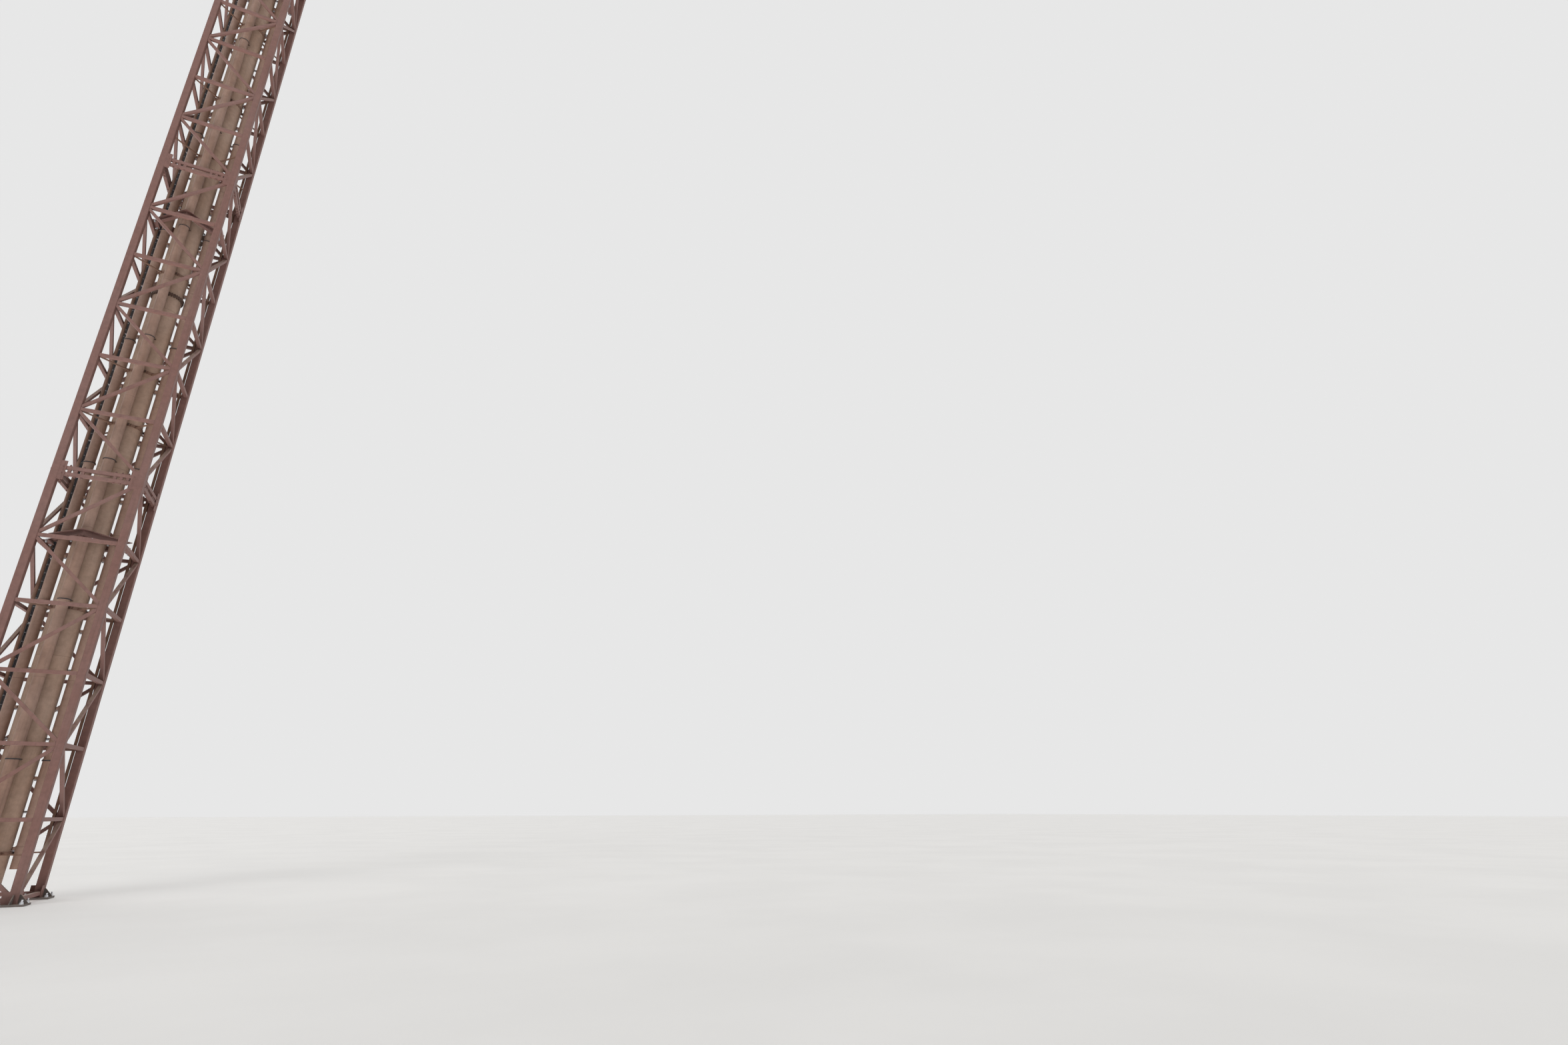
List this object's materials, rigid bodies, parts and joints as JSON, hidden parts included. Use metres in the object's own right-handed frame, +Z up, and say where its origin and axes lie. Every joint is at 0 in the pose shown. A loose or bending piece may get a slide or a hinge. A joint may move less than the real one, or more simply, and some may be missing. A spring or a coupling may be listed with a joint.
{
  "type": "drop tower ride mast, 1:2 scale model",
  "caption": "Square steel lattice mast of a drop tower ride, bolted up from braced sections round a central air pipe and four air cylinders, with a sheave head on top, at half of the real size.",
  "frame": {"origin": "The middle of the foundation plane, on the underside of the central air pipe's foot flange.", "axes": "+Z is up along the mast, -Y is the front face, which the picture looks at, and +X is the right face."},
  "size_m": [1.325, 1.325, 30.229],
  "materials": {
    "leg_paint": "satin paint, weathered",
    "brace_paint": "satin paint, weathered",
    "support_paint": "satin paint, dusty",
    "main_pipe_paint": "satin paint, weathered",
    "cylinder_paint": "satin paint, weathered",
    "base_steel": "primed steel, dirty",
    "sheave_steel": "greased cast rim",
    "pin_steel": "turned steel"
  },
  "bodies": {
    "root": {"base_plates": "base_steel", "section_1_legs": "leg_paint", "section_2_legs": "leg_paint", "section_3_legs": "leg_paint", "section_4_legs": "leg_paint", "section_5_legs": "leg_paint", "section_1_front_lattice": "brace_paint", "section_1_right_lattice": "brace_paint", "section_1_back_lattice": "brace_paint", "section_1_left_lattice": "brace_paint", "section_2_front_lattice": "brace_paint", "section_2_right_lattice": "brace_paint", "section_2_back_lattice": "brace_paint", "section_2_left_lattice": "brace_paint", "section_3_front_lattice": "brace_paint", "section_3_right_lattice": "brace_paint", "section_3_back_lattice": "brace_paint", "section_3_left_lattice": "brace_paint", "section_4_front_lattice": "brace_paint", "section_4_right_lattice": "brace_paint", "section_4_back_lattice": "brace_paint", "section_4_left_lattice": "brace_paint", "section_5_front_lattice": "brace_paint", "section_5_right_lattice": "brace_paint", "section_5_back_lattice": "brace_paint", "section_5_left_lattice": "brace_paint", "section_1_pipe_supports": "support_paint", "section_2_pipe_supports": "support_paint", "section_3_pipe_supports": "support_paint", "section_4_pipe_supports": "support_paint", "section_5_pipe_supports": "support_paint", "cylinder_frames": "brace_paint", "main_air_pipe": "main_pipe_paint", "front_air_cylinder": "cylinder_paint", "right_air_cylinder": "cylinder_paint", "back_air_cylinder": "cylinder_paint", "left_air_cylinder": "cylinder_paint", "riser_pipe": "support_paint", "cable_duct": "support_paint", "head_frame": "leg_paint", "sheaves": "sheave_steel", "sheave_pins": "pin_steel"}
  },
  "joints": []
}
